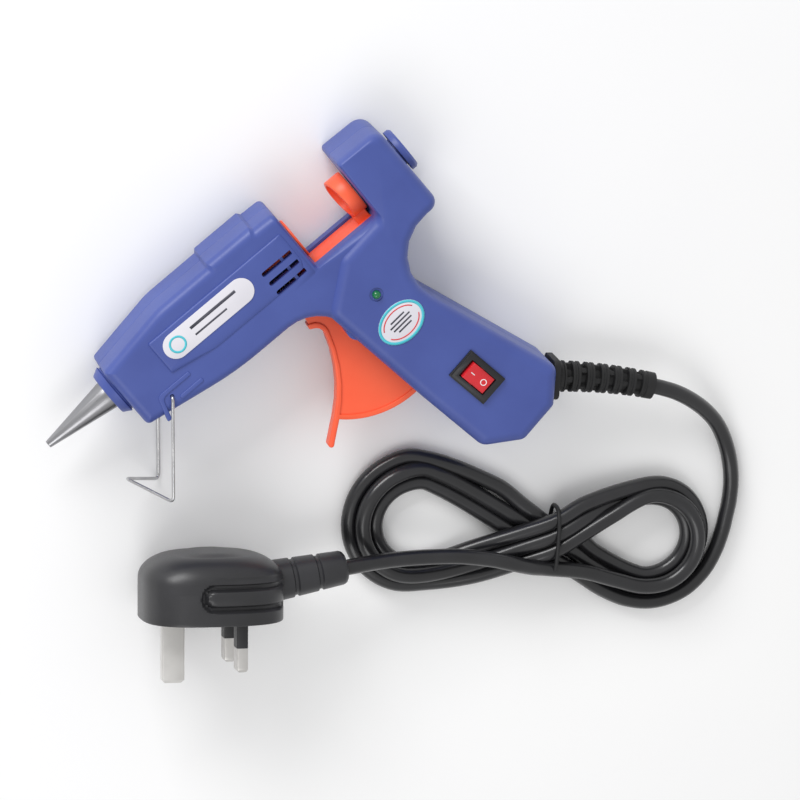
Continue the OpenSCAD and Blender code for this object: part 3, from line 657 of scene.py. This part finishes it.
bore = revolve([(15, 2.95), (28, 2.95)], neck)
plug_mesh = combine(plug_mesh, [seat, bore])
plug_shell = add("plug_cover", plug_mesh, "plug_plastic", "gun", ["plug_body"])


def across_plug(x, z, y):
    """A point of the plug's frame whose third number is the distance from its base."""
    return plug(x, y, z)


def pin(x, z, half_x, half_z, y0, y1, tip, steps):
    """A plug pin, its end rounded or chamfered."""
    corners = [(x - half_x, z - half_z, 0.5), (x + half_x, z - half_z, 0.5),
               (x + half_x, z + half_z, 0.5), (x - half_x, z + half_z, 0.5)]
    return slab(corners, y0, y1, 0, tip, across_plug, steps, 4)


earth_pin = add("plug_earth_pin", pin(EARTH_X, 0, 4, 2, -22.73, PIN_ROOT, 1.1, 1),
                "plug_pin_metal", "gun", ["earth_pin"])
bare = [pin(LINE_X, z, 2, 3.15, -17.7, SLEEVED, 1.6, 6) for z in (-LINE_Z, LINE_Z)]
line_pins = add("plug_line_pins", joined(bare), "plug_pin_metal", "gun", ["line_pins"])
sleeves = [pin(LINE_X, z, 2, 3.15, SLEEVED, PIN_ROOT, 0.15, 2) for z in (-LINE_Z, LINE_Z)]
pin_sleeves = add("plug_pin_sleeves", joined(sleeves), "black_plastic", "gun", ["pin_sleeves"])


# ---- strain relief ----

relief_path = smooth_line(sleeve_line[2:], 20)
RIBS = 7
RIB_SHARE = 0.58
GAP_R = 3.3


def sleeve_radius(i, angle):
    """A ribbed sleeve: rings joined by webs that change sides from gap to gap."""
    t = i / (len(relief_path) - 1)
    cell = t * RIBS
    outside = 5.7 - 0.9 * t
    if cell % 1 < RIB_SHARE or t > 0.93:
        shallow = abs(cell % 1 - RIB_SHARE / 2) < 0.1
        return MM * (outside - 0.3 * shallow)
    web = abs(math.cos(2 * angle + (int(cell) % 2) * math.pi / 2)) > 0.92
    return MM * (outside - 0.7 if web else GAP_R)


sleeve = sweep(relief_path, sleeve_radius, 64)
flange = slab([(-7.2, -7.2, 2.2), (7.2, -7.2, 2.2), (7.2, 7.2, 2.2), (-7.2, 7.2, 2.2)], 0.6, 3.3,
              0.8, 0.3, lambda x, y, z: relief(z, x, y))
throat = revolve([(-5, 4.05), (0.9, 4.05)], relief)
relief_mesh = combine(sleeve, [flange, throat], "UNION")
strain_relief = add("strain_relief_sleeve", relief_mesh, "black_rubber", "gun", ["strain_relief"])


# ---- trigger and stick feed ----

FINGER = [(95, -28.6, 0.6), (99, -30.6, 3.5), (93.9, -49.3, 52), (73.4, -66.6, 0.9),
          (74.7, -68.2, 0.9), (95.5, -50.4, 53.9), (101.1, -29, 5.4), (95.4, -26.5, 0.6)]
SECTOR = 35.4
LINK_TURN = math.radians(77)
LINK_REACH = 20.5
link = (PIVOT[0] + LINK_REACH * math.cos(LINK_TURN), PIVOT[1] + LINK_REACH * math.sin(LINK_TURN))


def sector(r, first, last, count=24):
    """Corners along an arc about the trigger's pin, between two angles in degrees."""
    return [(PIVOT[0] + r * math.cos(math.radians(first + (last - first) * k / count)),
             PIVOT[1] + r * math.sin(math.radians(first + (last - first) * k / count)), 0.02)
            for k in range(count + 1)]


def plate(points, half, edge):
    """A flat plate of the trigger, its edges rounded on both sides."""
    return slab(points, -half, half, edge, edge, gun, 4, 5)


fan = [(111.5, -26, 0.3), (106, -22.8, 1), (97, -22.6, 1), (95.9, -27, 0.5), (98.9, -31, 0.3),
       (97, -40, 0.3), (92.3, -50.2, 0.3), (81.6, -61, 0.3)]
fan += sector(SECTOR - 0.05, -135, -80) + [(111, -39.5, 0.3)]
rim = sector(SECTOR, -136.5, -82) + sector(SECTOR - 1.8, -82, -136.5)
arm_side = (2.4 * math.sin(LINK_TURN), -2.4 * math.cos(LINK_TURN))
arm = [(PIVOT[0] - arm_side[0], PIVOT[1] - arm_side[1], 0.1),
       (PIVOT[0] + arm_side[0], PIVOT[1] + arm_side[1], 0.1),
       (link[0] + arm_side[0], link[1] + arm_side[1], 0.1),
       (link[0] - arm_side[0], link[1] - arm_side[1], 0.1)]
trigger_mesh = combine(plate(FINGER, 2.7, 0.55), [
    slab(fan, -2, 2), plate(rim, 2.6, 0.3), plate(arm, 1.9, 0.3), upright(*PIVOT, 3.6, -3.2, 3.2),
    upright(*link, 2.6, -1.9, 1.9)], "UNION")
trigger_mesh = combine(trigger_mesh, [upright(*PIVOT, 2.05, -8, 8), upright(*link, 1.5, -8, 8)])
add("trigger_lever", trigger_mesh, "orange_plastic", "trigger", ["trigger"])

slide = box(104.5, 137.7, -12.2, -10, -7.2, 7.2, gun, 0.5, 0.8)
lugs = []
for z in (2.3, -4.3):
    lug = box(link[0] - 4.2, link[0] + 4.2, -20.6, -12, z, z + 2, gun, 0.2, 0.8)
    window = box(link[0] - 1.6, link[0] + 1.6, -19.4, -13.8, z - 1, z + 3)
    lugs.append(combine(lug, [window]))
riser = combine(box(131.5, 136.5, -10.1, -6.7, -4, 4), [revolve([(130, 8), (139, 8)])])
slide_mesh = combine(slide, lugs + [riser], "UNION")
add("feed_slide_bar", slide_mesh, "orange_plastic", "feed", ["feed_slide"])


def slanted(x, y, z):
    """The clamp's front edge lies back on its near side."""
    back_off = max(0, (134.7 - x) / 4.2) * 0.15 * (z + 8)
    return gun(x + back_off, y, z)


clamp_profile = [(130.5, 7.6), (130.7, 7.9), (131.1, 8), (137.3, 8), (137.8, 7.7), (137.9, 7.3)]
clamp_mesh = combine(revolve(clamp_profile, slanted, sides=72), [
    revolve([(127, 6.7), (134.7, 6.7)], slanted, sides=72), revolve([(134, 3.95), (140, 3.95)])])
add("stick_clamp_ring", clamp_mesh, "orange_plastic", "feed", ["stick_clamp"])


# ---- stand, return spring and tie ----

LEG = 38
LEG_TURN = math.radians(-128.5)
foot = (STAND_PIVOT[0] + LEG * math.cos(LEG_TURN), STAND_PIVOT[1] + LEG * math.sin(LEG_TURN))
leg_z = GRIP_HALF - 0.6
tip = (foot[0] + 15 * math.cos(math.radians(121)), foot[1] + 15 * math.sin(math.radians(121)))


def bent(points, radius):
    """A line of straight runs with its corners turned to a radius."""
    made = [Vector(points[0])]
    for a, p, b in zip(points, points[1:], points[2:]):
        a, p, b = Vector(a), Vector(p), Vector(b)
        u, v = (a - p).normalized(), (b - p).normalized()
        half = u.angle(v) / 2
        reach = min(radius / math.tan(half), 0.45 * (a - p).length, 0.45 * (b - p).length)
        for k in range(9):
            t = k / 8
            made.append((p + u * reach) * (1 - t) ** 2 + p * 2 * t * (1 - t) + (p + v * reach) * t * t)
    made.append(Vector(points[-1]))
    return made


stand_line = bent([gun(*STAND_PIVOT, 10), gun(*STAND_PIVOT, leg_z), gun(*foot, leg_z),
                   gun(*tip, 0), gun(*foot, -leg_z), gun(*STAND_PIVOT, -leg_z),
                   gun(*STAND_PIVOT, -10)], 1.8 * MM)
add("stand_wire_loop", sweep(stand_line, lambda i, t: 0.6 * MM, 16, (1, 0, 0)), "stand_wire",
    "stand", ["stand"], smooth=60)

COIL_TURNS = 9
COIL_SIDES = 24
COIL_LENGTH = 19
spring_x = 84.5
coil = []
for k in range(COIL_TURNS * COIL_SIDES + 1):
    a = 2 * math.pi * k / COIL_SIDES
    along = COIL_LENGTH * k / (COIL_TURNS * COIL_SIDES)
    coil.append(gun(spring_x + 0.5 + along, -11.1 + 1.9 * math.cos(a), 1.9 * math.sin(a)))
spring = add("return_spring_coil", sweep(coil, lambda i, t: 0.35 * MM, 10, (1, 0, 0)),
             "spring_steel", "gun", ["return_spring"], smooth=60)
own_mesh(spring)

tie_line = []
for k in range(48):
    a = 2 * math.pi * k / 48
    tie_line.append(hank(0, 12.6 * full(math.cos(a)), 7.35 + 6.6 * full(math.sin(a))))


def ring_tube(path, r, sides=10, axis=(1, 0, 0)):
    """A closed ring of wire whose loop lies square to an axis."""
    bm = bmesh.new()
    rows = []
    n = len(path)
    axis = Vector(axis).normalized()
    for i, p in enumerate(path):
        way = (path[(i + 1) % n] - path[i - 1]).normalized()
        other = axis.cross(way).normalized()
        rows.append([bm.verts.new(p + (axis * math.cos(2 * math.pi * k / sides)
                                       + other * math.sin(2 * math.pi * k / sides)) * r)
                     for k in range(sides)])
    for i in range(n):
        low, high = rows[i], rows[(i + 1) % n]
        for k in range(sides):
            bm.faces.new((low[k], low[(k + 1) % sides], high[(k + 1) % sides], high[k]))
    return closed(bm)


tie_axis = (math.cos(HANK_TURN), math.sin(HANK_TURN), 0)
tie = add("hank_tie_ring", ring_tube(tie_line, 0.75 * MM, 12, tie_axis), "tie_rubber", "gun",
          ["cord_tie"], smooth=60)


# ---- switch marks and labels ----

def on_rocker(x, y, z):
    """A point above the rocker's sloping faces, at rest, in the switch's frame."""
    tilt = math.radians(9)
    u = x * math.cos(tilt) + z * math.sin(tilt)
    w = -x * math.sin(tilt) + z * math.cos(tilt)
    c, s = math.cos(SWITCH_TURN), math.sin(SWITCH_TURN)
    return gun(SWITCH[0] + u * c - y * s, SWITCH[1] + u * s + y * c, GRIP_HALF - 0.9 + w)


def rocker_top(x):
    """The height of the rocker's surface, which rises from its middle to both ends."""
    return 1.5 + 0.9 * abs(x) / 5.2


bar = loft([[(x, y, rocker_top(x) + z) for x, y in ((-3.7, -0.17), (-1.7, -0.17), (-1.7, 0.17),
                                                   (-3.7, 0.17))] for z in (-0.1, 0.06)], on_rocker)
circle_points = []
for k in range(32):
    mark_x = 2.8 + 1.05 * math.cos(2 * math.pi * k / 32)
    mark_y = 1.05 * math.sin(2 * math.pi * k / 32)
    circle_points.append(on_rocker(mark_x, mark_y, rocker_top(mark_x)))
marks = joined([bar, ring_tube(circle_points, 0.16 * MM, 8, (0, 0, 1))])
add("rocker_marks", marks, "label_print", "rocker", material=PRINT["white"])


def flat_ring(cx, cy, a, b, wide, z0, z1, place, first=0, last=360):
    """A thin raised elliptical ring, or part of one."""
    bm = bmesh.new()
    count = max(8, int((last - first) / 6))
    whole = last - first >= 360
    rows = []
    for k in range(count if whole else count + 1):
        t = math.radians(first + (last - first) * k / count)
        c, s = math.cos(t), math.sin(t)
        outer, inner = (cx + a * c, cy + b * s), (cx + (a - wide) * c, cy + (b - wide) * s)
        rows.append([bm.verts.new(place(*p, z)) for p, z in
                     ((outer, z0), (outer, z1), (inner, z1), (inner, z0))])
    pairs = list(zip(rows, rows[1:] + rows[:1])) if whole else list(zip(rows, rows[1:]))
    for low, high in pairs:
        for k in range(4):
            bm.faces.new((low[k], low[(k + 1) % 4], high[(k + 1) % 4], high[k]))
    if not whole:
        bm.faces.new(rows[0][::-1])
        bm.faces.new(rows[-1])
    return closed(bm)


def sticker(x, y, z):
    """A point of the round label's frame, in the row frame."""
    c, s = math.cos(math.radians(5)), math.sin(math.radians(5))
    return gun(121.1 + x * c - y * s, -43.7 + x * s + y * c, z)


PRINT_THICK = 0.04
LABEL_Z = GRIP_HALF + 0.24
LABEL_TOP = LABEL_Z + PRINT_THICK
SIDE_Z = PANEL_HALF + 0.29
SIDE_TOP = SIDE_Z + PRINT_THICK
printed = {
    "rating_label_rim": ("cyan", [flat_ring(0, 0, 9.15, 6.95, 1.0, LABEL_Z, LABEL_TOP, sticker)]),
    "rating_label_arcs": ("red", [flat_ring(0, 0, 7.4, 5.2, 0.45, LABEL_Z, LABEL_TOP, sticker,
                                            first, first + 140) for first in (20, 200)]),
    "rating_label_bars": ("ink", [box(-w, w, y - 0.3, y + 0.3, LABEL_Z, LABEL_TOP, sticker)
                                  for y, w in ((2.2, 3.2), (0.8, 4.6), (-0.6, 4.2), (-2, 3))]),
    "side_label_ring": ("cyan", [flat_ring(57.2, 2.4, 3.2, 3.2, 0.8, SIDE_Z, SIDE_TOP, gun)]),
    "side_label_bars": ("ink", [box(64, 84, 3.4, 4.5, SIDE_Z, SIDE_TOP, gun),
                                box(64, 78, 0.6, 1.3, SIDE_Z, SIDE_TOP, gun)]),
}
for name, (ink, meshes) in printed.items():
    add(name, joined(meshes), "label_print", "gun", material=PRINT[ink], smooth=0)


# ---- finish of the CAD nodes ----

for name, piece in nodes.items():
    piece.data.materials.clear()
    piece.data.materials.append(LOOKS[slot_of[name]])
    piece.data.shade_smooth()
    piece.data.set_sharp_from_angle(angle=math.radians(30))
# The widths of the edges' rounding, in millimetres.
SOFTENED = {"front_collar": 0.35, "stick_bush": 0.6, "inlet_guide": 0.4, "switch_frame": 0.3,
            "rocker": 0.35, "rating_label": 0.08, "side_label": 0.1, "plug_base": 0.3,
            "nozzle": 0.2, "housing_screws": 0.2}
for name, width in SOFTENED.items():
    flat = nodes[name].modifiers.new("flat", "WELD")
    flat.merge_threshold = 5e-6
    plain = nodes[name].modifiers.new("plain", "DECIMATE")
    plain.decimate_type = "DISSOLVE"
    plain.angle_limit = math.radians(1)
    edges = nodes[name].modifiers.new("edges", "BEVEL")
    edges.width = width * MM
    edges.segments = 3
    edges.limit_method = "ANGLE"
    edges.angle_limit = math.radians(32)
    edges.harden_normals = False


# ---- floor and light ----

floor_mesh = bpy.data.meshes.new("floor")
FLOOR = 3
floor_mesh.from_pydata([(-FLOOR, -FLOOR, 0), (FLOOR, -FLOOR, 0), (FLOOR, FLOOR, 0), (-FLOOR, FLOOR, 0)],
                       [], [(0, 1, 2, 3)])
floor = bpy.data.objects.new("floor", floor_mesh)
floor_mesh.materials.append(finish("floor_paper", srgb(246, 246, 247), srgb(250, 250, 250),
                                   (0.7, 0.8), (300, 0.02), 3))
bpy.context.scene.collection.objects.link(floor)

world = bpy.data.worlds.new("studio")
world.use_nodes = True
world.node_tree.nodes["Background"].inputs["Color"].default_value = (1, 1, 1, 1)
world.node_tree.nodes["Background"].inputs["Strength"].default_value = 0.64
bpy.context.scene.world = world


def lamp(name, place, size, power):
    """A soft lamp that faces the origin."""
    light = bpy.data.lights.new(name, "AREA")
    light.shape = "RECTANGLE"
    light.size, light.size_y = size
    light.energy = power
    shown = bpy.data.objects.new(name, light)
    shown.location = place
    shown.rotation_mode = "QUATERNION"
    shown.rotation_quaternion = (-Vector(place)).to_track_quat("-Z", "Y")
    bpy.context.scene.collection.objects.link(shown)


lamp("key", (0.15, 1.15, 0.6), (0.8, 0.5), 11)
lamp("fill", (-0.6, -0.2, 0.9), (0.6, 0.6), 2.6)
bpy.context.scene.view_settings.view_transform = "Standard"
